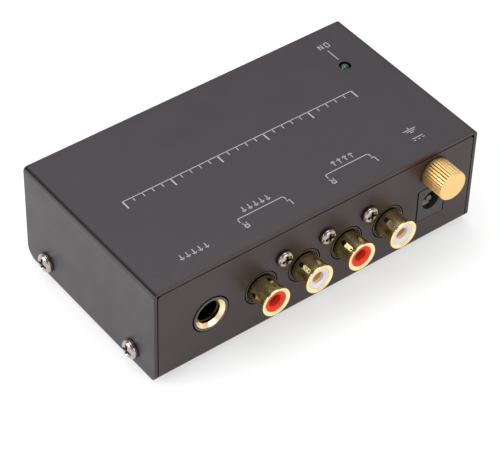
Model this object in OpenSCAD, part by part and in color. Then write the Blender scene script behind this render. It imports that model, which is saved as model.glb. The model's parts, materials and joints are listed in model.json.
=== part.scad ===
// Turntable preamp in a folded sheet-metal case. Millimetres, +Z up, +X to the right seen from
// the jack panel, which faces -Y. The origin is on the table, under the middle of the whole part,
// from the ground knob's face to the back panel.

/* [Case] */
// Width of the case, end to end
case_w = 105; // [100:0.5:125]
// Depth of the case, jack panel to back panel
case_d = 57.8; // [56.4:0.2:75]
// Height of the case without its feet
case_h = 30.8; // [29.5:0.2:40]
// Thickness of the sheet metal
sheet = 1.0; // [0.8:0.1:1.2]
// Outer bend radius along the cover's two top edges
cover_bend = 1.3; // [1.3:0.1:2.5]
// Outer bend radius along the base's front and rear edges
base_bend = 1.5; // [1.3:0.1:2.2]
// Gap between the base's panels and the cover
seam = 0.3; // [0.2:0.05:0.5]
// Corner radius of the end flaps, low at the back
flap_rear_r = 3.5; // [1.5:0.5:6]
// Corner radius of the end flaps, low at the front
flap_front_r = 1.4; // [0.6:0.2:2.4]
// Corner radius at the top of the jack panel and the back panel
panel_corner_r = 1.1; // [0.5:0.1:2]

/* [Cover fixing] */
// Distance from the case's front or back face to a cover screw
side_screw_y = 9.6; // [8.4:0.1:11.9]
// Height of the cover screws above the case's underside
side_screw_z = 4.5; // [4:0.1:5.5]
// Width of a side tab of the base
tab_w = 12; // [9:0.5:13]
// Height of a side tab of the base
tab_h = 9; // [8:0.5:11]
// Head radius of a cover screw
side_head_r = 2.75; // [2.4:0.05:3]
// Head height of a cover screw
side_head_h = 1.9; // [1.5:0.1:2.3]
// Thread radius of a cover screw
side_thread_r = 1.45; // [1.2:0.05:1.6]
// Length of a cover screw under its head
side_screw_l = 4; // [4:0.5:5]

/* [Feet] */
// Radius of a rubber foot
foot_r = 4.5; // [3:0.5:6]
// Height of a rubber foot
foot_h = 1.5; // [1:0.1:3]
// Distance from the case's end to a foot's centre
foot_in_x = 13; // [12:0.5:18]
// Distance from the panel to a foot's centre
foot_in_y = 10; // [8:0.5:12]

/* [Circuit board] */
// Thickness of the circuit board
board_t = 1.6; // [1:0.2:2]
// Gap from the cover screws up to the circuit board
board_clear = 0.1; // [0.1:0.1:0.8]
// Gap from the jack panel to the board's edge
board_gap = 0.3; // [0.2:0.1:0.6]
// Gap from the side tabs to the board's ends
board_end_gap = 0.5; // [0.3:0.1:0.8]
// Room behind the board
board_back_gap = 7; // [4:0.5:8]
// Share of the spare width along the panel that lies outside each board screw
screw_share = 0.17; // [0.1:0.01:0.2]
// Radius of a board standoff
standoff_r = 2.75; // [2.5:0.05:3]
// Head radius of a board screw
board_head_r = 2.4; // [2.2:0.1:2.6]
// Thread radius of a board screw
board_thread_r = 1.2; // [1:0.05:1.3]

/* [Phono sockets] */
// Height of the socket axes above the case's underside
jack_z = 14.1; // [13.7:0.1:14.5]
// Share of the spare width along the panel that lies left of the socket block
rca_share = 0.38; // [0.3:0.01:0.5]
// Distance between two sockets
rca_pitch = 14; // [13.8:0.1:14.2]
// Number of sockets
rca_count = 4;
// Radius of the round holes in the jack panel
rca_hole_r = 5.25; // [5:0.05:5.5]
// Reach of a socket in front of the jack panel
rca_reach = 6.6; // [6:0.1:9]
// Radius over the socket's rim
rca_rim_r = 4.35; // [4.2:0.05:4.45]
// Thickness of the rim along the axis
rca_rim_w = 0.6; // [0.4:0.1:0.9]
// Radius of the socket's barrel
rca_barrel_r = 4.05; // [3.9:0.05:4.1]
// Wall of the socket's barrel
rca_wall = 0.85; // [0.7:0.05:0.95]
// Radius of the flange behind the barrel
rca_flange_r = 4.45; // [4.2:0.05:4.5]
// Radius of the ring-shaped gap between a barrel and the housing's nose
rca_moat_r = 4.65; // [4.5:0.05:4.7]
// Radius of the housing's nose round a barrel
rca_nose_r = 4.9; // [4.8:0.05:5]
// Bore of the centre contact, for the plug's pin
rca_pin_bore_r = 1.65; // [1.6:0.01:1.7]
// Length of the notches in a barrel
rca_notch_l = 4.2; // [3.2:0.1:4.6]
// Width of the notches in a barrel
rca_notch_w = 1.3; // [0.8:0.1:1.6]
// Depth of the socket housing behind the panel
rca_housing_d = 11; // [10:0.5:12]
// Rise of the panel screws above the socket axes
panel_screw_rise = 6.75; // [6.6:0.05:7.2]
// Head radius of a panel screw
panel_head_r = 2.35; // [2:0.05:2.5]
// Head height of a panel screw
panel_head_h = 1.6; // [1.3:0.1:2]
// Thread radius of a panel screw
panel_thread_r = 1.2; // [1:0.05:1.3]

/* [Stereo jack] */
// Share of the spare width along the panel that lies left of the stereo jack
trs_share = 0.23; // [0.2:0.01:0.3]
// Radius of its hole in the panel
trs_hole_r = 5.7; // [5.5:0.05:6]
// Outer radius of its bushing
trs_bush_r = 4.6; // [4.4:0.05:4.8]
// Bore of its bushing
trs_bore_r = 3.25; // [3.2:0.01:3.3]
// Wider front part of the bore
trs_mouth_r = 3.5; // [3.4:0.05:3.7]
// Depth of that front part behind the panel
trs_mouth_d = 1.9; // [1.6:0.1:3.4]
// Depth of the bushing's funnel
trs_funnel = 0.9; // [0.5:0.1:1.2]
// Length of the bushing
trs_bush_l = 8; // [7:0.5:9]
// Width of the jack's body
trs_body_w = 15.4; // [15:0.1:15.6]
// Height of the jack's body over its axis
trs_body_rise = 7; // [6.6:0.1:8]
// Depth of the jack's body behind the panel
trs_body_d = 29; // [29:0.5:31]
// Thickness of the spring contacts
leaf_t = 0.35; // [0.25:0.05:0.4]

/* [Power inlet] */
// Share of the spare width along the panel that lies left of the power inlet
inlet_share = 0.75; // [0.6:0.01:0.82]
// Width of the inlet's body
inlet_w = 9; // [8.8:0.1:9.2]
// Height of the inlet's body
inlet_h = 10.75; // [10.5:0.05:11]
// Depth of the inlet's body
inlet_d = 14; // [13.5:0.5:15]
// Gap between the inlet's body and its cut-out
inlet_gap = 0.4; // [0.2:0.05:0.5]
// How far the cut-out lies left of the inlet's body
inlet_shift = 0.14; // [0:0.02:0.16]
// Height of the inlet's axis over the board
inlet_rise = 5.95; // [5.9:0.05:6.3]
// Radius of the inlet's bore
inlet_bore_r = 3; // [2.9:0.05:3.1]
// Radius of the inlet's centre pin
inlet_pin_r = 1.05; // [0.95:0.05:1.25]

/* [Ground terminal] */
// How far the ground terminal lies under the middle between the inlet and the cover
ground_low = 0.1; // [0:0.05:0.4]
// Radius of the terminal's thread
stud_r = 2; // [1.9:0.05:2.1]
// Radius over the knob's ribs
knob_r = 4.35; // [4:0.05:4.6]
// Length of the knob
knob_l = 7.2; // [6.5:0.1:9]
// Number of ribs round the knob
knob_ribs = 32; // [24:1:36]
// Depth of the grooves between the ribs
knob_groove = 0.34; // [0.15:0.01:0.38]
// Bevel of the knob's front edge
knob_bevel = 0.25; // [0.1:0.05:0.7]
// Bevel of the knob's rear edge
knob_rear_bevel = 0.1; // [0.05:0.05:0.3]
// Thickness of the knob's washer
washer_t = 0.4; // [0.3:0.1:0.8]

/* [Lamp] */
// Distance of the lamp from the case's right end
lamp_end = 11.5; // [10.5:0.1:14]
// Distance of the lamp behind the jack panel
lamp_back = 41.4; // [40:0.1:43]
// Radius of the lamp
lamp_r = 1.5; // [1.2:0.1:1.6]
// Height of the lamp's dome over the cover
lamp_proud = 0.15; // [0:0.05:0.6]

/* [Hidden] */

$fn = 64;
eps = 0.01;
touch = 0.02;   // clearance where two pieces of the same body fit
thread_gap = 0.05;   // clearance of a thread drawn plain

under_z = foot_h;                 // the case's underside
top_z = under_z + case_h;         // the cover's top
knob_rest = 0.05;                 // running gap behind the washer, and in front of it
knob_back = 2 * knob_rest + washer_t;      // back of the knob, in front of the panel
case_y = (knob_back + knob_l) / 2;         // centre of the case, front to back
front_y = case_y - case_d / 2;    // outer face of the jack panel
back_y = case_y + case_d / 2;     // outer face of the back panel
side_screw_off = case_d / 2 - side_screw_y; // centre of the case to a cover screw
inner_y = front_y + sheet;        // inner face of the jack panel
floor_z = under_z + sheet;        // inner face of the floor
board_under = under_z + side_screw_z + side_thread_r + board_clear;
board_top = board_under + board_t;
axis_z = under_z + jack_z;
inlet_top = board_top + inlet_h;
ground_z = (inlet_top + top_z - sheet) / 2 - ground_low;
end_x = case_w / 2 - sheet;       // inner face of an end flap
tab_x = end_x - sheet;            // inner face of a side tab
base_w = case_w - 2 * (sheet + seam);
base_h = case_h - sheet - seam;
bend_min = 0.2;                   // least inner bend radius

// Along the panel the front board screws, the stereo jack, the socket block and the inlet share the
// board's width. What they leave over is dealt out between them by the shares above.
board_w = 2 * (tab_x - board_end_gap);
housing_trim = 0.8;               // the socket block is this much shorter than its pitches
housing_w = rca_count * rca_pitch - housing_trim;
spare_w = board_w - 4 * board_head_r - trs_body_w - housing_w - inlet_w;
screw_in_x = board_head_r + screw_share * spare_w;        // board end to board screw
row_x = 2 * board_head_r - board_w / 2;                   // right side of the left board screw's head
trs_x = row_x + trs_share * spare_w + trs_body_w / 2;
housing_mid = row_x + rca_share * spare_w + trs_body_w + housing_w / 2;
inlet_x = row_x + inlet_share * spare_w + trs_body_w + housing_w + inlet_w / 2;
rca_first_x = housing_mid - (rca_count - 1) / 2 * rca_pitch;
lamp_x = case_w / 2 - lamp_end;

// Sheet shapes, drawn as 2D outlines

// A rectangle standing on y = 0 whose two upper corners are round
module arched(w, h, r) {
    translate([-w / 2, 0]) square([w, h - r]);
    translate([-w / 2 + r, 0]) square([w - 2 * r, h]);
    for (side = [-1, 1]) translate([side * (w / 2 - r), h - r]) circle(r);
}

// What a round corner takes away: the corner is at the origin, the sheet lies in +X +Y
module corner_off(r) {
    difference() {
        translate([-eps, -eps]) square(r + eps);
        translate([r, r]) circle(r);
    }
}

// The cover's folded section, seen along Y
module cover_section() {
    difference() {
        arched(case_w, case_h, cover_bend);
        translate([0, -eps]) arched(2 * end_x, case_h - sheet + eps, cover_bend - sheet + eps);
    }
}

// An end flap seen along X: the back is at +X
module flap_outline() {
    difference() {
        translate([front_y, 0]) square([case_d, case_h + eps]);
        translate([front_y, 0]) corner_off(flap_front_r);
        translate([back_y, 0]) mirror([1, 0]) corner_off(flap_rear_r);
    }
}

// The base's folded section, seen along X
module base_section() {
    inner_r = max(base_bend - sheet, bend_min);
    translate([case_y, base_h]) mirror([0, 1]) difference() {
        arched(case_d, base_h, base_bend);
        translate([0, -eps]) arched(case_d - 2 * sheet, base_h - sheet + eps, inner_r);
    }
}

// A screw with a round-edged flat head and a cross recess. The head's underside is at z = 0
head_edge_share = 0.65;
cross_reach_share = 0.7;
cross_width_share = 0.36;
cross_depth_share = 0.78;
cross_foot_share = 0.3;
module cross_screw(head_r, head_h, thread_r, length) {
    edge = head_h * head_edge_share;
    reach = head_r * cross_reach_share;
    width = head_r * cross_width_share;
    depth = head_h * cross_depth_share;
    difference() {
        rotate_extrude() {
            square([head_r - edge, head_h]);
            square([head_r, head_h - edge]);
            translate([head_r - edge, head_h - edge]) intersection() {
                circle(edge);
                square(edge);
            }
        }
        translate([0, 0, head_h - depth]) intersection() {
            linear_extrude(depth + eps) {
                square([2 * reach, width], center = true);
                square([width, 2 * reach], center = true);
            }
            cylinder(h = depth + eps, r1 = head_r * cross_foot_share, r2 = reach);
        }
    }
    translate([0, 0, -length]) cylinder(h = length + eps, r = thread_r);
}

// Puts children drawn along +Z on the jack panel: +Z becomes -Y, from the panel's outer face
module on_panel(x, z) {
    translate([x, front_y, z]) rotate([90, 0, 0]) children();
}

// Folded case

module side_screw_places() {
    for (side = [-1, 1], end = [-1, 1])
        translate([side * case_w / 2, case_y + end * side_screw_off, under_z + side_screw_z])
            rotate([0, side * 90, 0]) children();
}

lamp_y = front_y + lamp_back;
lamp_hole_r = lamp_r + 0.2;
side_hole_r = side_thread_r + 0.2;

module top_cover() {
    color("#3a383a") difference() {
        intersection() {
            translate([0, back_y, under_z]) rotate([90, 0, 0])
                linear_extrude(case_d) cover_section();
            translate([-case_w / 2 - eps, 0, under_z]) rotate([90, 0, 90])
                linear_extrude(case_w + 2 * eps) flap_outline();
        }
        translate([lamp_x, lamp_y, top_z - 2 * sheet]) cylinder(h = 3 * sheet, r = lamp_hole_r);
        side_screw_places() cylinder(h = 4 * sheet, r = side_hole_r, center = true);
    }
}

// A side tab, bent up from the floor: drawn for the right side
tab_root = 4;       // how far the tab's foot runs under the floor's edge
module side_tab() {
    inner_r = max(base_bend - sheet, bend_min);
    translate([0, tab_w / 2, 0]) rotate([90, 0, 0]) linear_extrude(tab_w) difference() {
        translate([end_x - tab_root, 0]) square([tab_root, tab_h]);
        translate([end_x, 0]) mirror([1, 0]) corner_off(base_bend);
        difference() {
            translate([end_x - tab_root - eps, sheet]) square([tab_root - sheet + eps, tab_h]);
            translate([tab_x, sheet]) mirror([1, 0]) corner_off(inner_r);
        }
    }
}

rca_xs = [for (i = [0 : rca_count - 1]) rca_first_x + i * rca_pitch];
panel_screw_xs = [for (i = [0 : rca_count - 2]) rca_first_x + (i + 0.5) * rca_pitch];
inlet_cut_w = inlet_w + 2 * inlet_gap;
stud_hole_r = stud_r + 0.2;
panel_hole_r = panel_thread_r + 0.25;

module panel_holes() {
    cut = 4 * sheet;
    for (x = rca_xs) on_panel(x, axis_z) cylinder(h = cut, r = rca_hole_r, center = true);
    for (x = panel_screw_xs)
        on_panel(x, axis_z + panel_screw_rise) cylinder(h = cut, r = panel_hole_r, center = true);
    on_panel(trs_x, axis_z) cylinder(h = cut, r = trs_hole_r, center = true);
    on_panel(inlet_x, ground_z) cylinder(h = cut, r = stud_hole_r, center = true);
    translate([inlet_x - inlet_cut_w / 2 - inlet_shift, front_y - sheet, board_top])
        cube([inlet_cut_w, 3 * sheet, inlet_h + inlet_gap]);
}

board_front = inner_y + board_gap;
board_back = back_y - sheet - board_back_gap;
standoff_apart = 0.3;     // gap from a standoff to the cover screw behind it
standoff_ahead = side_thread_r + standoff_apart + standoff_r;
standoff_places = [for (side = [-1, 1], end = [-1, 1])
    [side * (board_w / 2 - screw_in_x), case_y + end * side_screw_off - standoff_ahead]];
rivet_r = 2;

module base_chassis() {
    color("#454345") difference() {
        union() {
            intersection() {
                translate([-base_w / 2, 0, under_z]) rotate([90, 0, 90])
                    linear_extrude(base_w) base_section();
                translate([0, back_y + sheet, under_z]) rotate([90, 0, 0])
                    linear_extrude(case_d + 2 * sheet) arched(base_w, base_h, panel_corner_r);
            }
            for (side = [0, 1], end = [-1, 1])
                mirror([side, 0, 0]) translate([0, case_y + end * side_screw_off, under_z]) side_tab();
        }
        panel_holes();
        side_screw_places() cylinder(h = 6 * sheet, r = side_thread_r + thread_gap, center = true);
        for (p = standoff_places)
            translate([p[0], p[1], under_z - sheet]) cylinder(h = 3 * sheet, r = rivet_r + touch);
    }
}

module cover_screws() {
    color("#c9c6c2") side_screw_places()
        cross_screw(side_head_r, side_head_h, side_thread_r, side_screw_l);
}

foot_taper = 0.4;
module rubber_feet() {
    color("#202020") for (side = [-1, 1], end = [-1, 1])
        translate([side * (case_w / 2 - foot_in_x), case_y + end * (case_d / 2 - foot_in_y), 0])
            cylinder(h = foot_h, r1 = foot_r - foot_taper, r2 = foot_r);
}

// Circuit board and what holds it

tail_r = 0.45;            // radius of a round solder tail
tail_out = 1.2;           // how far a tail reaches below the board
tail_hole_r = tail_r + 0.1;
contact_tail_back = rca_housing_d + 1;       // contact tails run down behind the housing
shell_tail_back = 5;                         // shell tails run down through the housing
contact_tail_y = inner_y + contact_tail_back;
shell_tail_y = inner_y + shell_tail_back;

tip_heel = 16;            // places along the stereo jack, from the panel's outer face
tip_point = 26;
ring_heel = 11.5;
ring_point = 21.5;
sleeve_tail = 6;
trs_tails = [[0, sleeve_tail], [5.6, tip_heel], [-5.6, ring_heel]];
inlet_tails = [[0, inlet_d - 1.5], [0, 6.5], [-3.2, 9.5]];
chip_xs = [-12, 12];
chip_back = 32;           // places on the board are distances behind the panel's outer face
chip_y = front_y + chip_back;
chip_l = 9.6;
chip_w = 6.4;
chip_h = 3.3;
leg_pitch = 2.54;
leg_row = 3.81;
leg_places = [for (x = chip_xs, i = [-1.5 : 1 : 1.5], side = [-1, 1])
    [x + i * leg_pitch, chip_y + side * leg_row]];

module circuit_board() {
    color("#2e6b3d") difference() {
        translate([-board_w / 2, board_front, board_under])
            cube([board_w, board_back - board_front, board_t]);
        for (p = standoff_places)
            translate([p[0], p[1], board_under - eps])
                cylinder(h = board_t + 2 * eps, r = board_thread_r + 0.3);
        for (x = rca_xs, y = [contact_tail_y, shell_tail_y])
            translate([x, y, board_under - eps]) cylinder(h = board_t + 2 * eps, r = tail_hole_r);
        for (t = trs_tails)
            translate([trs_x + t[0], front_y + t[1], board_under - eps])
                cylinder(h = board_t + 2 * eps, r = tail_hole_r);
        for (t = inlet_tails)
            translate([inlet_x + t[0], front_y + t[1], board_under - eps])
                cylinder(h = board_t + 2 * eps, r = tail_hole_r);
        for (p = leg_places)
            translate([p[0], p[1], board_under - eps]) cylinder(h = board_t + 2 * eps, r = tail_hole_r);
    }
}

module board_standoffs() {
    color("#c8b878") for (p = standoff_places) translate([p[0], p[1], under_z]) difference() {
        union() {
            translate([0, 0, sheet]) cylinder(h = board_under - floor_z, r = standoff_r);
            cylinder(h = sheet + eps, r = rivet_r);
        }
        translate([0, 0, sheet]) cylinder(h = board_top, r = board_thread_r + thread_gap);
    }
}

board_head_h = 1.55;
board_screw_bite = 3;     // how far a board screw reaches into its standoff
module board_screws() {
    color("#c9c6c2") for (p = standoff_places) translate([p[0], p[1], board_top])
        cross_screw(board_head_r, board_head_h, board_thread_r, board_t + board_screw_bite);
}

// Phono sockets, drawn along +Z from the panel's outer face: +Z is out of the panel

housing_rise = 6.4;           // top of the housing's body over the axes
nose_back = 0.05;             // the nose stops this far behind the panel's face
pocket_back = 9;              // depth of a socket's pocket, from the panel's outer face
flange_back = 0.2;            // place of the flange, behind the panel's outer face
flange_t = 0.6;
flange_groove_w = 0.2;        // groove between the flange and the barrel
flange_groove_d = 0.4;
core_r = rca_barrel_r - rca_wall;       // radius of the insulator
contact_wall = 0.35;
contact_r = rca_pin_bore_r + contact_wall;
contact_front = 4.9;          // front end of the contact, from the panel's outer face
contact_back = 8.2;
shell_back = 7;
ear_r = 2.9;                  // the ears that take the panel screws
slit_w = 2.4;                 // slits that core out the housing's back
slit_d = 4;

// The housing seen from the front: a block with a round-topped ear for each panel screw
module housing_outline() {
    drop = axis_z - board_top;
    translate([housing_mid - housing_w / 2, -drop]) square([housing_w, drop + housing_rise]);
    for (x = panel_screw_xs) translate([x, 0]) {
        translate([-ear_r, 0]) square([2 * ear_r, panel_screw_rise]);
        translate([0, panel_screw_rise]) circle(ear_r);
    }
}

module rca_housing() {
    color("#1c1c1e") difference() {
        union() {
            on_panel(0, axis_z) translate([0, 0, -sheet - rca_housing_d])
                linear_extrude(rca_housing_d) housing_outline();
            for (x = rca_xs) on_panel(x, axis_z)
                translate([0, 0, -sheet - eps]) cylinder(h = sheet + eps - nose_back, r = rca_nose_r);
        }
        for (x = rca_xs) {
            on_panel(x, axis_z) {
                translate([0, 0, -pocket_back])
                    cylinder(h = pocket_back + eps, r = rca_barrel_r + touch);
                translate([0, 0, -flange_back - flange_t])
                    cylinder(h = flange_back + flange_t, r = rca_moat_r);
                translate([0, 0, -sheet - rca_housing_d - eps])
                    cylinder(h = rca_housing_d, r = tail_r + touch);
            }
            translate([x, shell_tail_y, board_top - eps])
                cylinder(h = axis_z - board_top, r = tail_r + touch);
        }
        for (x = panel_screw_xs) {
            on_panel(x, axis_z + panel_screw_rise)
                translate([0, 0, -sheet - rca_housing_d - eps])
                    cylinder(h = rca_housing_d + 2 * eps, r = panel_thread_r + thread_gap);
            translate([x - slit_w / 2, inner_y + rca_housing_d - slit_d, board_top - eps])
                cube([slit_w, slit_d + eps, axis_z + panel_screw_rise + 2 * ear_r - board_top]);
        }
    }
}

// A barrel with its flared rim, its flange and four notches
rim_round = 0.25;
rim_step = 0.25;
rim_slope = 0.35;
notch_back = 1.2;          // from the rim's front to a notch
notch_window = 1.4;        // length of a notch that goes right through the wall
notch_shallow = 0.12;      // depth of a notch's ramp behind the window
notch_floor = 0.15;        // wall left at the ramp's front end, where it is deepest
notch_eye_r = 0.3;         // round hole in a notch's ramp
notch_eye_in = 0.75;
notch_eye_depth = 0.9;
shell_turns = [75, 40, 42, 36];      // how far each shell's notches are turned

// A notch's cut, at +X: a window through the wall at the panel's end, then a ramp down to the rim
module notch_cut() {
    front = rca_reach - notch_back;
    rear = front - rca_notch_l;
    out = rca_barrel_r + 1;
    intersection() {
        rotate([0, 90, 0]) linear_extrude(out) {
            translate([-front + rca_notch_w / 2, -rca_notch_w / 2])
                square([rca_notch_l - rca_notch_w, rca_notch_w]);
            for (end = [front - rca_notch_w / 2, rear + rca_notch_w / 2])
                translate([-end, 0]) circle(d = rca_notch_w);
        }
        rotate([90, 0, 0]) linear_extrude(2 * rca_notch_w, center = true)
            polygon([[core_r - 1, rear - eps], [out, rear - eps], [out, front + eps],
                [core_r + notch_floor, front + eps], [rca_barrel_r - notch_shallow, rear + notch_window],
                [core_r - 1, rear + notch_window]]);
    }
    translate([rca_barrel_r - notch_eye_depth, 0, front - notch_eye_in]) rotate([0, 90, 0])
        cylinder(h = 1, r = notch_eye_r);
}

module rca_shell(i) {
    barrel_front = rca_reach - rca_rim_w;
    color("#caa23c") {
        on_panel(rca_xs[i], axis_z) difference() {
            rotate_extrude() difference() {
                union() {
                    translate([0, -shell_back])
                        square([rca_barrel_r, barrel_front + shell_back]);
                    translate([0, -flange_back - flange_t]) square([rca_flange_r, flange_t]);
                    translate([0, barrel_front]) square([rca_rim_r, rca_rim_w - rim_round]);
                    translate([0, rca_reach - rim_round - eps])
                        square([rca_rim_r - rim_round, rim_round + eps]);
                    translate([rca_rim_r - rim_round, rca_reach - rim_round]) circle(rim_round);
                    polygon([[0, barrel_front - rim_step], [rca_barrel_r, barrel_front - rim_step],
                        [rca_rim_r, barrel_front], [0, barrel_front]]);
                }
                translate([-eps, -shell_back - eps])
                    square([core_r + eps, rca_reach + shell_back + 2 * eps]);
                translate([rca_barrel_r, -flange_back - flange_groove_d])
                    square([flange_groove_w, flange_groove_d + eps]);
                polygon([[0, rca_reach - rim_slope], [core_r, rca_reach - rim_slope],
                    [rca_rim_r - 2 * rim_round, rca_reach + eps], [0, rca_reach + eps]]);
            }
            for (turn = [0 : 90 : 270]) rotate([0, 0, shell_turns[i] + turn]) notch_cut();
        }
        translate([rca_xs[i], shell_tail_y, board_under - tail_out])
            cylinder(h = axis_z - rca_barrel_r + rca_wall / 2 - board_under + tail_out, r = tail_r);
    }
}

face_back = 0.4;          // insulator's face, behind the rim's front
mouth_r = 2.4;
mouth_depth = 0.5;
lip_r = rca_pin_bore_r + 0.15;       // the insulator's own hole, in front of the contact
module rca_insulator(i, tint) {
    face = rca_reach - face_back;
    color(tint) on_panel(rca_xs[i], axis_z) rotate_extrude() difference() {
        translate([0, -contact_back]) square([core_r - touch, face + contact_back]);
        translate([-eps, -contact_back - eps])
            square([contact_r + touch + eps, contact_front + contact_back + eps]);
        translate([-eps, -contact_back]) square([lip_r + eps, face + contact_back + eps]);
        polygon([[0, face - mouth_depth], [lip_r, face - mouth_depth],
            [mouth_r, face + eps], [0, face + eps]]);
    }
}

contact_floor = 4.6;      // the contact's bore ends this far behind the panel's face
module rca_contact(i) {
    color("#d8b04a") {
        on_panel(rca_xs[i], axis_z) {
            difference() {
                translate([0, 0, -contact_back]) cylinder(h = contact_front + contact_back, r = contact_r);
                translate([0, 0, -contact_floor])
                    cylinder(h = contact_front + contact_floor + eps, r = rca_pin_bore_r);
            }
            translate([0, 0, -sheet - contact_tail_back])
                cylinder(h = sheet + contact_tail_back - contact_back + eps, r = tail_r - thread_gap);
        }
        translate([rca_xs[i], contact_tail_y, board_under - tail_out])
            cylinder(h = axis_z + tail_r - board_under + tail_out, r = tail_r);
    }
}

panel_screw_l = 8;
module jack_panel_screws() {
    color("#c9c6c2") for (x = panel_screw_xs) on_panel(x, axis_z + panel_screw_rise)
        cross_screw(panel_head_r, panel_head_h, panel_thread_r, panel_screw_l);
}

// Stereo jack

trs_nose_r = trs_hole_r - 0.4;
trs_nose_out = 0.15;       // the nose stands this far in front of the panel
trs_wall = 1.4;
trs_cave_w = trs_body_w - 2 * trs_wall;
trs_cave_drop = 4;         // floor of the contact chamber below the axis
leaf_rise = 1.6;           // half the height of a contact leaf
heel_r = 0.4;              // rolled heel of a leaf, which turns in the body's floor
heel_x = 5.6;
leaf_reach = 2.55;         // nearest point of a leaf to the plug's axis
terminal_in = 1.2;

module trs_jack_body() {
    cave_front = trs_bush_l + 1;
    cave_back = trs_body_d + sheet - trs_wall;
    color("#161618") difference() {
        union() {
            translate([trs_x - trs_body_w / 2, inner_y, board_top])
                cube([trs_body_w, trs_body_d, axis_z + trs_body_rise - board_top]);
            on_panel(trs_x, axis_z) translate([0, 0, -sheet - eps])
                cylinder(h = sheet + eps + trs_nose_out, r = trs_nose_r);
        }
        on_panel(trs_x, axis_z) {
            translate([0, 0, -trs_bush_l])
                cylinder(h = trs_bush_l + trs_nose_out + eps, r = trs_bush_r + touch);
            translate([0, 0, -cave_front - eps]) cylinder(h = cave_front, r = trs_bore_r + 0.1);
        }
        translate([trs_x - trs_cave_w / 2, front_y + cave_front, axis_z - trs_cave_drop])
            cube([trs_cave_w, cave_back - cave_front, trs_cave_drop + trs_body_rise + eps]);
        for (h = [[heel_x, tip_heel], [-heel_x, ring_heel]])
            translate([trs_x + h[0], front_y + h[1], axis_z - trs_cave_drop - 1])
                cylinder(h = 2, r = heel_r + thread_gap);
        for (t = trs_tails)
            translate([trs_x + t[0], front_y + t[1], board_top - eps])
                cylinder(h = terminal_in + eps, r = tail_r + touch);
    }
}

bush_lip = 0.02;          // the bushing stands this far in front of the panel
bush_edge = 0.05;         // flat edge left outside the funnel
module trs_bushing() {
    color("#d9b978") on_panel(trs_x, axis_z) rotate_extrude() difference() {
        translate([0, -trs_bush_l]) square([trs_bush_r, trs_bush_l + bush_lip]);
        translate([-eps, -trs_bush_l - eps])
            square([trs_bore_r + eps, trs_bush_l + bush_lip + 2 * eps]);
        translate([0, -trs_mouth_d]) square([trs_mouth_r, trs_mouth_d + bush_lip]);
        polygon([[0, -trs_funnel], [trs_mouth_r, -trs_funnel],
            [trs_bush_r - bush_edge, bush_lip + eps], [0, bush_lip + eps]]);
    }
}

// A spring contact: side is 1 on the right and -1 on the left, heel and point are distances
// from the panel's outer face
leaf_end = 1.6;           // how far the leaf runs past its point
module leaf(side, heel, point) {
    bow = heel_x - leaf_reach;
    color("#cfcac0") translate([trs_x, front_y, axis_z]) {
        translate([side * heel_x, heel, -trs_cave_drop - 1 + touch])
            cylinder(h = trs_cave_drop + leaf_rise + 1 - touch, r = heel_r);
        translate([0, 0, -leaf_rise]) linear_extrude(2 * leaf_rise) polygon([
            [side * (heel_x - leaf_t / 2), heel],
            [side * (heel_x - leaf_t / 2), heel + 1.5],
            [side * leaf_reach, point],
            [side * (heel_x - bow / 2), point + leaf_end],
            [side * (heel_x - bow / 2 + leaf_t), point + leaf_end],
            [side * (leaf_reach + 1.3 * leaf_t), point],
            [side * (heel_x + leaf_t / 2), heel + 1.5],
            [side * (heel_x + leaf_t / 2), heel]]);
    }
}

module trs_tip_spring() {
    leaf(1, tip_heel, tip_point);
}

module trs_ring_spring() {
    leaf(-1, ring_heel, ring_point);
}

module solder_tails(x, tails, reach_up) {
    color("#d0ccc4") for (t = tails)
        translate([x + t[0], front_y + t[1], board_under - tail_out])
            cylinder(h = board_t + tail_out + reach_up, r = tail_r);
}

module trs_terminals() {
    solder_tails(trs_x, trs_tails, terminal_in);
}

// Power inlet

inlet_back = 0.05;        // the inlet's face, behind the panel's outer face
inlet_axis_z = board_top + inlet_rise;
inlet_bore_d = 11;
channel_w = 3.2;          // channel of the side contact, under the bore
channel_drop = 4.6;
channel_front = 1.4;
channel_end = 12;
inlet_leaf_w = 2.6;
inlet_heel = 11;          // heel of the side contact, from the panel's outer face
inlet_heel_drop = 3.9;
inlet_point = 3;
inlet_point_drop = 2.35;
inlet_heel_r = 0.3;
pin_front = 0.7;          // tip of the pin, behind the panel's outer face
pin_round = 0.5;
pin_root_r = inlet_pin_r + 0.4;      // the pin's thicker root, held in the body's back wall
pin_root_cover = 0.6;

module inlet_body() {
    color("#2a2a2c") difference() {
        translate([inlet_x - inlet_w / 2, front_y + inlet_back, board_top])
            cube([inlet_w, inlet_d, inlet_h]);
        on_panel(inlet_x, inlet_axis_z) {
            translate([0, 0, -inlet_bore_d]) cylinder(h = inlet_bore_d + eps, r = inlet_bore_r);
            translate([0, 0, -inlet_d + pin_root_cover])
                cylinder(h = inlet_d, r = pin_root_r + touch);
        }
        translate([inlet_x - channel_w / 2, front_y + channel_front, inlet_axis_z - channel_drop])
            cube([channel_w, channel_end - channel_front, channel_drop]);
        translate([inlet_x, front_y + inlet_heel, inlet_axis_z - inlet_heel_drop])
            rotate([0, 90, 0])
                cylinder(h = channel_w + 2, r = inlet_heel_r + thread_gap, center = true);
        for (t = inlet_tails)
            translate([inlet_x + t[0], front_y + t[1], board_top - eps])
                cylinder(h = terminal_in + eps, r = tail_r + touch);
    }
}

module inlet_pin() {
    color("#cfcac0") on_panel(inlet_x, inlet_axis_z) rotate_extrude() {
        translate([0, -inlet_d + pin_root_cover])
            square([pin_root_r, inlet_d - pin_root_cover - inlet_bore_d]);
        translate([0, -inlet_bore_d - eps])
            square([inlet_pin_r, inlet_bore_d + eps - pin_front - pin_round]);
        translate([0, -pin_front - pin_round - eps]) square([inlet_pin_r - pin_round, pin_round + eps]);
        translate([inlet_pin_r - pin_round, -pin_front - pin_round]) intersection() {
            circle(pin_round);
            square(pin_round);
        }
    }
}

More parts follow.
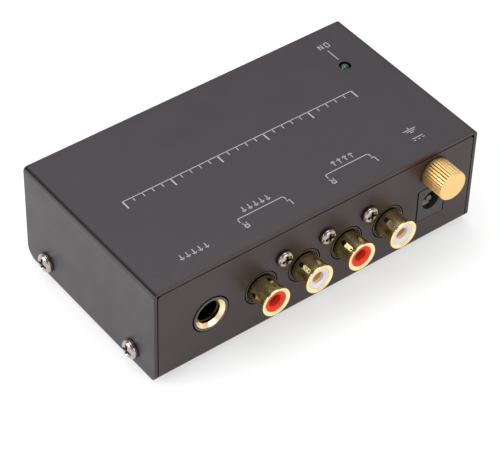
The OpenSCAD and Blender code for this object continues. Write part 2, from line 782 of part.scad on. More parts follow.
module inlet_spring() {
    color("#cfcac0") translate([inlet_x, front_y, inlet_axis_z]) {
        translate([0, inlet_heel, -inlet_heel_drop]) rotate([0, 90, 0])
            cylinder(h = channel_w + 1.6, r = inlet_heel_r, center = true);
        translate([-inlet_leaf_w / 2, 0, 0]) rotate([90, 0, 90]) linear_extrude(inlet_leaf_w)
            polygon([[inlet_heel, -inlet_heel_drop + leaf_t / 2],
                [inlet_heel - 1.5, -inlet_heel_drop + leaf_t / 2],
                [inlet_point, -inlet_point_drop],
                [channel_front + 0.5, -inlet_point_drop - 0.7],
                [channel_front + 0.5, -inlet_point_drop - 0.7 - leaf_t],
                [inlet_point, -inlet_point_drop - 1.2 * leaf_t],
                [inlet_heel - 1.5, -inlet_heel_drop - leaf_t / 2],
                [inlet_heel, -inlet_heel_drop - leaf_t / 2]]);
    }
}

module inlet_terminals() {
    solder_tails(inlet_x, inlet_tails, terminal_in);
}

// Ground terminal, drawn along +Z from the panel's outer face

lug_t = 0.6;
lock_t = 0.9;
bolt_head_t = 2.6;
bolt_head_r = 4;
stud_out = 6.1;           // the thread's reach in front of the panel
knob_blind = 1.1;         // solid end of the knob

module ground_screw() {
    back = sheet + lug_t + lock_t;
    color("#c9a85a") on_panel(inlet_x, ground_z) {
        translate([0, 0, -back - bolt_head_t]) cylinder(h = bolt_head_t, r = bolt_head_r, $fn = 6);
        translate([0, 0, -back - eps]) cylinder(h = back + eps + stud_out, r = stud_r);
    }
}

module ground_lock_washer() {
    color("#b9b6b0") on_panel(inlet_x, ground_z)
        translate([0, 0, -sheet - lug_t - lock_t]) difference() {
            cylinder(h = lock_t, r = bolt_head_r - 0.6);
            translate([0, 0, -eps]) cylinder(h = lock_t + 2 * eps, r = stud_r + touch);
            translate([0, -0.3, -eps]) cube([bolt_head_r, 0.6, lock_t + 2 * eps]);
        }
}

lug_r = 3.6;
lug_neck_w = 2.4;
crimp_from = 4;
crimp_to = 6.2;
crimp_r = 1.3;
crimp_end = 0.8;          // closed end of the crimp barrel
wire_r = 0.75;
wire_bend = 1.4;
wire_edge = 1.2;          // from the board's end to the wire
crimp_back = sheet + crimp_r + 0.05;

module ground_lug() {
    color("#d0ccc4") on_panel(inlet_x, ground_z) {
        translate([0, 0, -sheet - lug_t]) difference() {
            union() {
                cylinder(h = lug_t, r = lug_r);
                translate([0, -lug_neck_w / 2, 0]) cube([crimp_from + crimp_end, lug_neck_w, lug_t]);
            }
            translate([0, 0, -eps]) cylinder(h = lug_t + 2 * eps, r = stud_r + touch);
        }
        translate([crimp_from, 0, -crimp_back]) rotate([0, 90, 0]) difference() {
            cylinder(h = crimp_to - crimp_from, r = crimp_r);
            translate([0, 0, crimp_end]) cylinder(h = crimp_to - crimp_from, r = wire_r + touch);
        }
    }
}

module ground_wire() {
    wire_x = board_w / 2 - wire_edge;
    wire_y = front_y + crimp_back;
    start_x = inlet_x + crimp_from + crimp_end + touch;
    color("#3c9a4a") {
        translate([start_x, wire_y, ground_z]) rotate([0, 90, 0])
            cylinder(h = wire_x - wire_bend - start_x + eps, r = wire_r);
        translate([wire_x - wire_bend, wire_y, ground_z - wire_bend]) rotate([90, 0, 0])
            rotate_extrude(angle = 90) translate([wire_bend, 0]) circle(wire_r);
        translate([wire_x, wire_y, board_top])
            cylinder(h = ground_z - wire_bend - board_top + eps, r = wire_r);
    }
}

washer_in = 0.15;         // the washer is this much smaller than the knob
washer_hole_r = stud_r + 0.1;
module ground_washer() {
    color("#c9a85a") on_panel(inlet_x, ground_z) translate([0, 0, knob_rest])
        difference() {
            cylinder(h = washer_t, r = knob_r - washer_in);
            translate([0, 0, -eps]) cylinder(h = washer_t + 2 * eps, r = washer_hole_r);
        }
}

// What a bevel takes off the knob's edge at z = 0
module edge_off(bevel) {
    rotate_extrude() polygon([[knob_r - bevel, -eps], [knob_r + 1, -eps], [knob_r + 1, bevel + 1],
        [knob_r, bevel]]);
}

// The knob: straight ribs cut by V grooves, bevelled edges and a blind threaded hole
module ground_knob() {
    groove_w = PI * knob_r / knob_ribs;
    color("#e0b860") on_panel(inlet_x, ground_z) translate([0, 0, knob_back])
        difference() {
            cylinder(h = knob_l, r = knob_r);
            for (i = [0 : knob_ribs - 1]) rotate([0, 0, i * 360 / knob_ribs])
                translate([knob_r, 0, -eps]) linear_extrude(knob_l - knob_bevel)
                    polygon([[-knob_groove, 0], [eps, groove_w / 2 + eps], [1, groove_w / 2 + eps],
                        [1, -groove_w / 2 - eps], [eps, -groove_w / 2 - eps]]);
            edge_off(knob_rear_bevel);
            translate([0, 0, knob_l]) mirror([0, 0, 1]) edge_off(knob_bevel);
            translate([0, 0, -eps]) cylinder(h = knob_l - knob_blind, r = stud_r + thread_gap);
        }
}

// Lamp

lamp_h = 5.3;
lamp_flange_r = lamp_r + 0.35;
lamp_flange_t = 1;
lead_r = 0.25;
lead_pitch = 2.54;
lamp_low = top_z + lamp_proud - lamp_h;

module lamp_lens() {
    color("#1d5c3c") translate([lamp_x, lamp_y, lamp_low]) {
        cylinder(h = lamp_flange_t, r = lamp_flange_r);
        rotate_extrude() {
            square([lamp_r, lamp_h - lamp_r]);
            translate([0, lamp_h - lamp_r]) intersection() {
                circle(lamp_r);
                square(lamp_r);
            }
        }
    }
}

module lamp_leads() {
    color("#d0ccc4") for (side = [-0.5, 0.5])
        translate([lamp_x + side * lead_pitch / 2, lamp_y, board_top])
            cylinder(h = lamp_low - board_top, r = lead_r);
}

module lamp_spacer() {
    color("#1a1a1a") translate([lamp_x, lamp_y, board_top]) difference() {
        cylinder(h = lamp_low - board_top, r = lamp_flange_r);
        for (side = [-0.5, 0.5]) translate([side * lead_pitch / 2, 0, -eps])
            cylinder(h = lamp_low - board_top + 2 * eps, r = lead_r + touch);
    }
}

// Parts on the board

chip_lift = 0.6;
module amplifier_chips() {
    color("#151515") for (x = chip_xs) translate([x, chip_y, board_top + chip_lift]) difference() {
        translate([-chip_l / 2, -chip_w / 2, 0]) cube([chip_l, chip_w, chip_h]);
        translate([-chip_l / 2, 0, chip_h - 0.5]) cylinder(h = 1, r = 0.9);
    }
}

module chip_legs() {
    leg_out = leg_row - chip_w / 2;
    leg_z = board_top + chip_lift + chip_h / 2;
    color("#d0ccc4") for (x = chip_xs, i = [-1.5 : 1 : 1.5], side = [-1, 1])
        translate([x + i * leg_pitch, chip_y, 0]) {
            translate([-0.5, side > 0 ? chip_w / 2 : -leg_row - 0.15, leg_z])
                cube([1, leg_out + 0.15, 0.3]);
            translate([-0.25, side * leg_row - 0.15, board_under - tail_out])
                cube([0.5, 0.3, leg_z + 0.3 - board_under + tail_out]);
        }
}

// A can with a crimp groove near its foot and a sunk top: back is its distance behind the
// panel's outer face
module can(x, back, r, h) {
    groove_r = 0.3;
    top_edge = 0.5;
    top_sink = 0.2;
    translate([x, front_y + back, board_top]) rotate_extrude() difference() {
        square([r, h]);
        translate([r + groove_r / 3, 4 * groove_r]) circle(groove_r);
        translate([-eps, h - top_sink]) square([r - top_edge + eps, top_sink + eps]);
    }
}

supply_in = 12;           // the parts near the lamp keep their distance to it
supply_back = 25;
supply_r = 4;
supply_h = 12.5;
module supply_capacitor() {
    color("#20242e") can(lamp_x - supply_in, supply_back, supply_r, supply_h);
}

can_in = 7;
can_xs = [-21, -6, 0, 6, 21, lamp_x - can_in];
can_back = 41;
can_r = 2.5;
can_h = 11;
module electrolytic_capacitors() {
    color("#23262c") for (x = can_xs) can(x, can_back, can_r, can_h);
}

film_xs = [-20, -8, 4, 16];
film_back = 22.5;
film_size = [7.2, 3, 6.5];
film_edge = 0.5;
module film_capacitors() {
    color("#a83228") for (x = film_xs)
        translate([x - film_size.x / 2, front_y + film_back, board_top])
            rotate([90, 0, 90]) linear_extrude(film_size.x)
                translate([film_size.y / 2, 0]) arched(film_size.y, film_size.z, film_edge);
}

disc_xs = [-23, -2, 24];
disc_r = 2.4;
disc_t = 2;
module ceramic_capacitors() {
    color("#c98a3a") for (x = disc_xs) translate([x, chip_y, board_top + disc_r])
        rotate([90, 0, 0]) cylinder(h = disc_t, r = disc_r, center = true);
}

resistor_first = 22;      // from the socket block's middle to the first resistor, leftwards
resistor_step = 12;
resistor_count = 5;
resistor_xs = [for (i = [0 : resistor_count - 1]) housing_mid - resistor_first + i * resistor_step];
resistor_rows = [17.5, 46.2];
resistor_places = [for (back = resistor_rows, x = resistor_xs) [x, front_y + back]];
resistor_r = 1.15;
resistor_l = 6.3;
resistor_waist = 0.2;
resistor_cap = 1.6;
resistor_pitch = 10;
resistor_lift = 0.2;
module resistor_bodies() {
    color("#7aa6c8") for (p = resistor_places)
        translate([p[0], p[1], board_top + resistor_r + resistor_lift])
            rotate([0, 90, 0]) rotate_extrude() {
                translate([0, -resistor_l / 2]) square([resistor_r - resistor_waist, resistor_l]);
                for (end = [-1, 1])
                    translate([0, end * (resistor_l - resistor_cap) / 2 - resistor_cap / 2])
                        square([resistor_r, resistor_cap]);
            }
}

module resistor_leads() {
    color("#d0ccc4") for (p = resistor_places, end = [-1, 1])
        translate([p[0], p[1], board_top]) {
            translate([end > 0 ? resistor_l / 2 : -resistor_pitch / 2 - lead_r, 0,
                resistor_r + resistor_lift]) rotate([0, 90, 0])
                cylinder(h = (resistor_pitch - resistor_l) / 2 + lead_r, r = lead_r);
            translate([end * resistor_pitch / 2, 0, 0])
                cylinder(h = resistor_r + resistor_lift, r = lead_r);
        }
}

diode_back = 22;
diode_lift = 1.6;
diode_l = 5;
diode_r = 1.35;
module supply_diode() {
    color("#242424") translate([lamp_x, front_y + diode_back, board_top]) {
        translate([0, 0, diode_lift]) cylinder(h = diode_l, r = diode_r);
        cylinder(h = diode_lift + eps, r = tail_r);
    }
}

// A round transistor-size case with one flat side, on three legs
regulator_in = 5;
regulator_back = 33;
regulator_r = 2.4;
regulator_flat = 1.4;
regulator_h = 4.6;
regulator_lift = 3;
module voltage_regulator() {
    color("#181818") translate([lamp_x - regulator_in, front_y + regulator_back, board_top]) {
        translate([0, 0, regulator_lift]) difference() {
            cylinder(h = regulator_h, r = regulator_r);
            translate([-regulator_r, regulator_flat, -eps])
                cube([2 * regulator_r, regulator_r, regulator_h + 2 * eps]);
        }
        for (i = [-1, 0, 1]) translate([i * lead_pitch / 2, 0, 0])
            cylinder(h = regulator_lift + eps, r = lead_r);
    }
}

top_cover();
base_chassis();
cover_screws();
jack_panel_screws();
rubber_feet();
circuit_board();
board_standoffs();
board_screws();
rca_housing();
rca_shell(0);  // rca_shell_output_right
rca_shell(1);  // rca_shell_output_left
rca_shell(2);  // rca_shell_input_right
rca_shell(3);  // rca_shell_input_left
rca_insulator(0, "#e0301e");  // rca_insulator_output_right
rca_insulator(1, "#ece6e4");  // rca_insulator_output_left
rca_insulator(2, "#e0301e");  // rca_insulator_input_right
rca_insulator(3, "#ece6e4");  // rca_insulator_input_left
rca_contact(0);  // rca_contact_output_right
rca_contact(1);  // rca_contact_output_left
rca_contact(2);  // rca_contact_input_right
rca_contact(3);  // rca_contact_input_left
trs_jack_body();
trs_bushing();
trs_tip_spring();
trs_ring_spring();
trs_terminals();
inlet_body();
inlet_pin();
inlet_spring();
inlet_terminals();
ground_screw();
ground_lock_washer();
ground_lug();
ground_wire();
ground_washer();
ground_knob();
lamp_lens();
lamp_leads();
lamp_spacer();
amplifier_chips();
chip_legs();
supply_capacitor();
electrolytic_capacitors();
film_capacitors();
ceramic_capacitors();
resistor_bodies();
resistor_leads();
supply_diode();
voltage_regulator();
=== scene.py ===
"""Looks of the turntable preamp: camera, materials, printed marks, stage and lights."""

import json
import math

import bmesh
import bpy
from mathutils import Matrix, Vector

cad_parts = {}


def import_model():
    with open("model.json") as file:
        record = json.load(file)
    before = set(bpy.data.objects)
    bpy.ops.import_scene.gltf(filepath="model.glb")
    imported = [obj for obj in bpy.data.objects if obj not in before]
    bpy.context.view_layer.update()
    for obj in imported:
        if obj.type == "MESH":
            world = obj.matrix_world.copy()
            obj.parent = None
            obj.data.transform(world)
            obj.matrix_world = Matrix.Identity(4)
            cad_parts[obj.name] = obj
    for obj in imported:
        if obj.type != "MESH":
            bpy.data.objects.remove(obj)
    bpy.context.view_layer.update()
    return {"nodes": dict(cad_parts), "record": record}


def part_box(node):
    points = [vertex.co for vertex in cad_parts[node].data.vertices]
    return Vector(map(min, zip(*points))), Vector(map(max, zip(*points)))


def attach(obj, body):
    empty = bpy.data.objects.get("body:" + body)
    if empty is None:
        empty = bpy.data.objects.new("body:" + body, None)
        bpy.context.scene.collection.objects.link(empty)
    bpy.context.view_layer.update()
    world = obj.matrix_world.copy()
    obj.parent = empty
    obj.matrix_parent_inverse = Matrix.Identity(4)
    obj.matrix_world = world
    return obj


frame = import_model()
scene = bpy.context.scene

MM = 0.001
BODY = "case"

# ---------------------------------------------------------------- places taken from the frame


def middle(node, axis):
    """The middle of a CAD node's box, along its x or z."""
    low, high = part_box(node)
    return (getattr(low, axis) + getattr(high, axis)) / 2


SIDES = ("output_right", "output_left", "input_right", "input_left")   # the four phono sockets
cover_low, cover_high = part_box("top_cover")
front_y = cover_low.y                 # the outer face of the panel with the jacks
centre_y = (cover_low.y + cover_high.y) / 2
top_z = cover_high.z
case_under_z = cover_low.z
socket_x = {side: middle("rca_insulator_" + side, "x") for side in SIDES}
socket_z = middle("rca_insulator_output_right", "z")
first_socket_x, second_socket_x = sorted(socket_x.values())[:2]
socket_pitch = second_socket_x - first_socket_x


# ---------------------------------------------------------------- camera

CAMERA_AZIMUTH = math.radians(-38.58)
CAMERA_ELEVATION = math.radians(43.56)
CAMERA_ROLL = math.radians(1.796)
CAMERA_DISTANCE = 598.56 * MM
CAMERA_SIDE = -0.15 * MM     # how far it stands to the right of the line to its aim
CAMERA_LENS_MM = 159.5
SENSOR_MM = 36.0
CLIP_NEAR = 0.01
CLIP_FAR = 20


def make_camera():
    """The photograph's camera, aimed at the middle of the case's footprint."""
    cos_e = math.cos(CAMERA_ELEVATION)
    back = Vector((math.sin(CAMERA_AZIMUTH) * cos_e, -math.cos(CAMERA_AZIMUTH) * cos_e,
                   math.sin(CAMERA_ELEVATION)))
    right = Vector((0, 0, 1)).cross(back).normalized()
    up = back.cross(right)
    cos_r, sin_r = math.cos(CAMERA_ROLL), math.sin(CAMERA_ROLL)
    right, up = right * cos_r + up * sin_r, up * cos_r - right * sin_r
    aim = Vector((0, centre_y, case_under_z))
    place = aim + right * CAMERA_SIDE + back * CAMERA_DISTANCE
    turn = Matrix((right, up, back)).transposed()
    data = bpy.data.cameras.new("camera")
    data.lens = CAMERA_LENS_MM
    data.sensor_width = SENSOR_MM
    data.sensor_fit = "HORIZONTAL"
    data.clip_start = CLIP_NEAR
    data.clip_end = CLIP_FAR
    camera = bpy.data.objects.new("camera", data)
    camera.matrix_world = Matrix.Translation(place) @ turn.to_4x4()
    scene.collection.objects.link(camera)
    bpy.context.scene.camera = camera


make_camera()

# ---------------------------------------------------------------- helpers for node trees

SOFT = 2.0                 # detail of broad noise
FINE = 3.0                 # detail of speckle and of the grain in metal
EVEN = (1, 1, 1)           # noise that isn't stretched
NOISE_LOW = 0.3            # nearly all of a noise lies between these two
NOISE_HIGH = 0.7
AO_SAMPLES = 8

# The Mix node's sockets go by number, because their names repeat for numbers and for colours
MIX_SHARE = 0
MIX_NUMBERS = (2, 3)
MIX_COLOURS = (6, 7)
MIXED_NUMBER = 0
MIXED_COLOUR = 2


def srgb(*values):
    """Linear colour from 0-255 sRGB values."""
    out = []
    for value in values:
        v = value / 255
        out.append(v / 12.92 if v <= 0.04045 else ((v + 0.055) / 1.055) ** 2.4)
    return (*out, 1.0)


def shaded(colour, share):
    """A colour at a share of its brightness."""
    return [part * share for part in colour[:3]] + [1]


class Tree:
    """A node tree. Its helpers take numbers, colours or output sockets, and return an output socket."""

    def __init__(self, tree):
        self.tree = tree

    def node(self, kind, **settings):
        """A new node of a kind, with its settings."""
        made = self.tree.nodes.new(kind)
        for key, value in settings.items():
            setattr(made, key, value)
        return made

    def fill(self, socket, content):
        """Links an output socket to an input socket, or sets the input to a number or colour."""
        if isinstance(content, bpy.types.NodeSocket):
            self.tree.links.new(content, socket)
        else:
            socket.default_value = content

    def math(self, operation, *values):
        """The result of a Math node."""
        made = self.node("ShaderNodeMath", operation=operation)
        for socket, value in zip(made.inputs, values):
            self.fill(socket, value)
        return made.outputs[0]

    def larger(self, one, two):
        """The larger of two values."""
        return self.math("MAXIMUM", one, two)

    def part(self, vector, axis):
        """The X, Y or Z of a vector."""
        split = self.node("ShaderNodeSeparateXYZ")
        self.fill(split.inputs[0], vector)
        return split.outputs[axis]

    def remap(self, value, low, high, start=0.0, end=1.0):
        """From low to high while the value goes from start to end, and level beyond them."""
        ramp = self.node("ShaderNodeMapRange")
        self.fill(ramp.inputs["Value"], value)
        self.fill(ramp.inputs["From Min"], start)
        self.fill(ramp.inputs["From Max"], end)
        self.fill(ramp.inputs["To Min"], low)
        self.fill(ramp.inputs["To Max"], high)
        return ramp.outputs["Result"]

    def seen_ray(self):
        """1 for rays from the camera, off a mirror or through glass, and 0 for the rest."""
        path = self.node("ShaderNodeLightPath")
        mirrored = self.larger(path.outputs["Is Camera Ray"], path.outputs["Is Glossy Ray"])
        return self.larger(mirrored, path.outputs["Is Transmission Ray"])


class Shader(Tree):
    """A Principled material. Places are in metres in the CAD frame, and sizes of detail in mm."""

    def __init__(self, name, colour, roughness, metallic=0.0):
        self.material = bpy.data.materials.new(name)
        self.material.use_nodes = True
        self.material.diffuse_color = colour
        super().__init__(self.material.node_tree)
        self.surface = self.tree.nodes["Principled BSDF"]
        self.put("Base Color", colour)
        self.put("Roughness", roughness)
        self.put("Metallic", metallic)
        self.coords = self.node("ShaderNodeTexCoord").outputs["Object"]

    def put(self, name, content):
        """Fills one of the surface's own sockets."""
        self.fill(self.surface.inputs[name], content)

    def so_far(self, name):
        """The output that one of the surface's sockets is linked to so far."""
        return self.surface.inputs[name].links[0].from_socket

    def noise(self, size_mm, detail=SOFT, stretch=EVEN):
        """Noise whose features are about size_mm across; stretch lengthens them along an axis."""
        mapping = self.node("ShaderNodeMapping")
        self.fill(mapping.inputs["Vector"], self.coords)
        self.fill(mapping.inputs["Scale"], [1 / s for s in stretch])
        noise = self.node("ShaderNodeTexNoise")
        self.fill(noise.inputs["Vector"], mapping.outputs["Vector"])
        self.fill(noise.inputs["Scale"], 1 / (size_mm * MM))
        self.fill(noise.inputs["Detail"], detail)
        return noise.outputs["Fac"]

    def patches(self, low, high, size_mm, detail=SOFT, stretch=EVEN):
        """A value that wanders from low to high and back, in patches about size_mm across."""
        return self.remap(self.noise(size_mm, detail, stretch), low, high, NOISE_LOW, NOISE_HIGH)

    def along(self, axis, start, end, low=0.0):
        """From low at start to 1 at end along the X, Y or Z axis."""
        return self.remap(self.part(self.coords, axis), low, 1, start, end)

    def band(self, axis, place, half):
        """1 on a plane across an axis, and 0 from half a width away."""
        offset = self.math("SUBTRACT", self.part(self.coords, axis), place)
        return self.remap(self.math("ABSOLUTE", offset), 1, 0, 0, half)

    def around(self, x, z, start, end, pitch=None):
        """0 at start and 1 at end, as distances from an axis along Y. A pitch repeats it along X."""
        across = self.part(self.coords, "X")
        if pitch:
            across = self.math("WRAP", across, x + pitch / 2, x - pitch / 2)
        flat = self.node("ShaderNodeCombineXYZ")
        self.fill(flat.inputs["X"], self.math("SUBTRACT", across, x))
        self.fill(flat.inputs["Z"], self.math("SUBTRACT", self.part(self.coords, "Z"), z))
        length = self.node("ShaderNodeVectorMath", operation="LENGTH")
        self.fill(length.inputs[0], flat.outputs[0])
        return self.remap(length.outputs["Value"], 0, 1, start, end)

    def mix_colours(self, share, one, two, blend="MIX"):
        """Makes the surface's colour a mix of two."""
        mix = self.node("ShaderNodeMix", data_type="RGBA", blend_type=blend)
        self.fill(mix.inputs[MIX_SHARE], share)
        for socket, colour in zip(MIX_COLOURS, (one, two)):
            self.fill(mix.inputs[socket], colour)
        self.put("Base Color", mix.outputs[MIXED_COLOUR])

    def cover(self, share, colour):
        """Lays a colour over the colour so far."""
        self.mix_colours(share, self.so_far("Base Color"), colour)

    def multiply(self, value):
        """Multiplies the colour so far by a grey value."""
        self.mix_colours(1.0, self.so_far("Base Color"), value, "MULTIPLY")

    def mottle(self, one, two, size_mm, detail=SOFT, stretch=EVEN):
        """A colour that wanders between two, in patches about size_mm across."""
        self.mix_colours(self.patches(0, 1, size_mm, detail, stretch), one, two)

    def roughen(self, low, high, size_mm, detail=SOFT):
        """A roughness that wanders between two, in patches about size_mm across."""
        self.put("Roughness", self.patches(low, high, size_mm, detail))

    def paint_recess_shade(self, distance_mm, darkest, shut=0.25, clear=0.75, sheen=None):
        """Paints shade into gaps and corners by darkening their colour, and can fade their sheen there.

        It looks distance_mm around each point. Where less than the share shut of what it sees is
        open the colour is at its darkest, and from the share clear on it stays as it is.
        """
        open_share = self.node("ShaderNodeAmbientOcclusion", samples=AO_SAMPLES)
        self.fill(open_share.inputs["Distance"], distance_mm * MM)
        self.multiply(self.remap(open_share.outputs["AO"], darkest, 1.0, shut, clear))
        if sheen:
            self.put("Specular IOR Level", self.remap(open_share.outputs["AO"], 0.0, sheen, shut, clear))

    def grain(self, size_mm, detail=SOFT, stretch=EVEN, height_mm=0.004, strength=0.5):
        """Fine bumps about size_mm across."""
        bump = self.node("ShaderNodeBump")
        self.fill(bump.inputs["Strength"], strength)
        self.fill(bump.inputs["Distance"], height_mm * MM)
        self.fill(bump.inputs["Height"], self.noise(size_mm, detail, stretch))
        self.put("Normal", bump.outputs["Normal"])


# ---------------------------------------------------------------- the case's paint

PAINT = srgb(50, 48, 50)
PAINT_DARK = srgb(42, 36, 40)
PAINT_LIGHT = srgb(52, 46, 50)
PAINT_SHEEN = 0.5
SPECKLE_MM = 0.35
SPECKLE_LOW = 0.25           # below this much noise the paint is at its darker tone
SPECKLE_HIGH = 0.75
PANEL_WARM_PAINTED_REFLECTION = srgb(48, 30, 31)
PANEL_FRONT = 0.2 * MM       # behind the panel's face: still the painted warm reflection
PANEL_BACK = 0.9 * MM        # from here on the case's tone
FOLD_END = 0.5 * MM          # in from an end: painted shade on the fold up to here
FOLD_TOP = 1.4 * MM          # in from an end: the top has its full tone
FOLD_MID = 0.35 * MM         # under the top: painted shade on the fold down to here
FOLD_LOW = 0.7 * MM          # under the top: the end has its full tone
FOLD_SHADE = 0.2


def case_paint():
    """Baked black paint: a fine orange peel, a faint speckle and slightly uneven sheen, with painted shade
    in gaps and along the folds.
    """
    m = Shader("case_paint", PAINT, roughness=0.42)
    speckle = m.remap(m.noise(SPECKLE_MM, FINE), 0, 1, SPECKLE_LOW, SPECKLE_HIGH)
    m.mix_colours(speckle, PAINT_DARK, PAINT_LIGHT)
    # Painted reflection: a warm tint over the panel's face, standing in for the gold sockets and knob
    # reflected in it
    m.cover(m.along("Y", front_y + PANEL_BACK, front_y + PANEL_FRONT), PANEL_WARM_PAINTED_REFLECTION)
    # Painted shade: a broad dark halo round raised parts, then black in seams and gaps, where the sheen
    # fades too
    m.paint_recess_shade(distance_mm=2.0, darkest=0.35, shut=0.5, clear=0.9)
    m.paint_recess_shade(distance_mm=0.8, darkest=0.02, shut=0.35, clear=0.8, sheen=PAINT_SHEEN)
    # Painted shade along the bends between the top and the ends, on the colour and on the sheen
    from_left = m.along("X", cover_low.x + FOLD_END, cover_low.x + FOLD_TOP)
    from_right = m.along("X", cover_high.x - FOLD_END, cover_high.x - FOLD_TOP)
    inward = m.math("MINIMUM", from_left, from_right)
    downward = m.along("Z", top_z - FOLD_MID, top_z - FOLD_LOW)
    fold_painted_shade = m.remap(m.larger(inward, downward), FOLD_SHADE, 1.0)
    m.multiply(fold_painted_shade)
    m.put("Specular IOR Level", m.math("MULTIPLY", m.so_far("Specular IOR Level"), fold_painted_shade))
    m.roughen(low=0.38, high=0.46, size_mm=9.0)
    m.grain(size_mm=0.45, height_mm=0.012, strength=0.6)
    return m.material


# ---------------------------------------------------------------- metals

GOLD = srgb(250, 212, 145)
RIM_GOLD_PAINTED_HIGHLIGHT = srgb(255, 232, 172)
BARREL_GOLD = srgb(244, 226, 162)
FUNNEL_GOLD = srgb(255, 232, 190)
# Painted shade in metal recesses: plated parts down to half, the screws' cross recesses black, none on the
# leaf
PLATED_RECESS_SHADE = {"distance_mm": 0.6, "darkest": 0.5}
SCREW_RECESS_SHADE = {"distance_mm": 0.9, "darkest": 0.01, "shut": 0.45, "clear": 0.85}
LEAF_RECESS_SHADE = {"distance_mm": 0.6, "darkest": 1.0}


def metal(name, colour, rough, grain_mm=0.5, stretch=EVEN, paint_recess_shade=PLATED_RECESS_SHADE):
    """Plated metal: uneven gloss and fine turning or handling marks, with painted shade in its recesses."""
    low, high = rough
    m = Shader(name, colour, roughness=(low + high) / 2, metallic=1.0)
    m.mottle(colour, shaded(colour, share=0.93), grain_mm, FINE, stretch)
    m.paint_recess_shade(**paint_recess_shade)
    m.roughen(low=low, high=high, size_mm=2.5, detail=FINE)
    m.grain(grain_mm, FINE, stretch)
    return m.material


RIM_START = 0.5 * MM         # behind the rim's front: the painted highlight's pale gold ends here
RIM_END = 1.0 * MM           # behind the rim's front: wholly the barrel's darker gold
FLANGE_SHADE = 0.15 * MM     # in front of the panel: the painted shade on the shells' feet ends here
FLANGE_DARKEST_PAINTED_SHADE = 0.08
NOTCH_DEEP = 3.75 * MM       # from a socket's axis: the notches' floors
NOTCH_EDGE = 3.95 * MM       # from a socket's axis: the barrel's own surface
NOTCH_SHADE = 0.5


def shell_gold():
    """The phono shells: gold with a painted highlight on the flared rim, and painted shade at the panel, in
    the notches and in recesses.
    """
    rim_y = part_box("rca_shell_output_right")[0].y
    m = Shader("gold_shell", RIM_GOLD_PAINTED_HIGHLIGHT, roughness=0.2, metallic=1.0)
    # The rim's gold is paler than the barrel's on one plating: a painted highlight
    rim = m.along("Y", rim_y + RIM_END, rim_y + RIM_START)
    m.mix_colours(rim, BARREL_GOLD, RIM_GOLD_PAINTED_HIGHLIGHT)
    # Painted shade, nearly black, on the shells' flanges and feet, at and behind the panel's face
    m.multiply(m.along("Y", front_y, front_y - FLANGE_SHADE, FLANGE_DARKEST_PAINTED_SHADE))
    # Painted shade on the floors of the barrels' notches
    barrel = m.around(first_socket_x, socket_z, NOTCH_DEEP, NOTCH_EDGE, socket_pitch)
    m.multiply(m.remap(m.larger(barrel, rim), NOTCH_SHADE, 1.0))
    m.paint_recess_shade(distance_mm=0.7, darkest=0.45)
    m.roughen(low=0.16, high=0.28, size_mm=1.5, detail=FINE)
    m.grain(size_mm=0.4, detail=FINE, stretch=(6, 1, 6))
    return m.material


GROOVE_PAINTED_SHADE = srgb(160, 108, 40)
GROOVE_METALLIC = 0.4
GROOVE_DEEP = 0.2 * MM       # under the ribs' tops: wholly painted shade
RIB_TOP = 0.03 * MM          # under the ribs' tops: still gold
FACE_BACK = 0.24 * MM        # behind the knob's face: the grooves begin
FACE_FRONT = 0.2 * MM        # behind the knob's face: still gold


def knob_gold():
    """The ground knob: satin gold ribs and face, with painted shade, brown and less metallic, in the
    grooves between the ribs.
    """
    low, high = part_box("ground_knob")
    radius = (high.x - low.x) / 2
    axis_x = middle("ground_knob", "x")
    axis_z = middle("ground_knob", "z")
    m = Shader("gold_knob", GOLD, roughness=0.5, metallic=1.0)
    ribs = m.around(axis_x, axis_z, radius - GROOVE_DEEP, radius - RIB_TOP)
    raised = m.larger(ribs, m.along("Y", low.y + FACE_BACK, low.y + FACE_FRONT))
    # Painted shade: brown and less metallic in the grooves, satin gold on the ribs and face
    m.mix_colours(raised, GROOVE_PAINTED_SHADE, GOLD)
    m.put("Metallic", m.remap(raised, GROOVE_METALLIC, 1.0))
    m.multiply(m.patches(low=0.93, high=1.0, size_mm=0.4, detail=FINE, stretch=(1, 3, 1)))
    m.roughen(low=0.46, high=0.54, size_mm=2.5, detail=FINE)
    m.grain(size_mm=0.4, detail=FINE, stretch=(1, 3, 1))
    return m.material


BORE_PAINTED_SHADE = srgb(92, 64, 36)
BORE_SHADE_FROM = 0.7 * MM   # behind the panel: painted shade in the bushing's bore begins here
BORE_SHADE_TO = 1.5 * MM
BORE_HIGHLIGHT_LINE = 1.75 * MM        # behind the panel: a painted highlight on the edge inside the bushing
BORE_HIGHLIGHT_HALF = 0.16 * MM


def bushing_gold():
    """The stereo jack's bushing: bright funnel, painted shade in the bore behind it, and a painted
    highlight on an edge in the bore.
    """
    m = Shader("gold_bushing", FUNNEL_GOLD, roughness=0.22, metallic=1.0)
    # Painted shade in the bore behind the funnel
    m.mix_colours(m.along("Y", front_y + BORE_SHADE_TO, front_y + BORE_SHADE_FROM), BORE_PAINTED_SHADE, FUNNEL_GOLD)
    # Painted highlight: a bright gold ring on the edge inside the bore
    m.cover(m.band("Y", front_y + BORE_HIGHLIGHT_LINE, BORE_HIGHLIGHT_HALF), FUNNEL_GOLD)
    m.roughen(low=0.2, high=0.3, size_mm=1.5, detail=FINE)
    m.grain(size_mm=0.4, detail=FINE, stretch=(1, 6, 1))
    return m.material


def contact_gold(name, colour):
    """A socket's centre contact: dull gold inside its bore, with the reflection of the disc round it
    painted into its colour.
    """
    m = Shader(name, colour, roughness=0.5, metallic=0.25)
    m.mottle(colour, shaded(colour, share=0.85), size_mm=0.6)
    m.roughen(low=0.45, high=0.55, size_mm=1.5, detail=FINE)
    return m.material


# ---------------------------------------------------------------- plastics and rubber

DISC_SHADE_FROM = 4.0 * MM   # in front of the panel: painted shade on the coloured discs up to here
DISC_SHADE_TO = 4.6 * MM
DISC_SHADE = 0.03


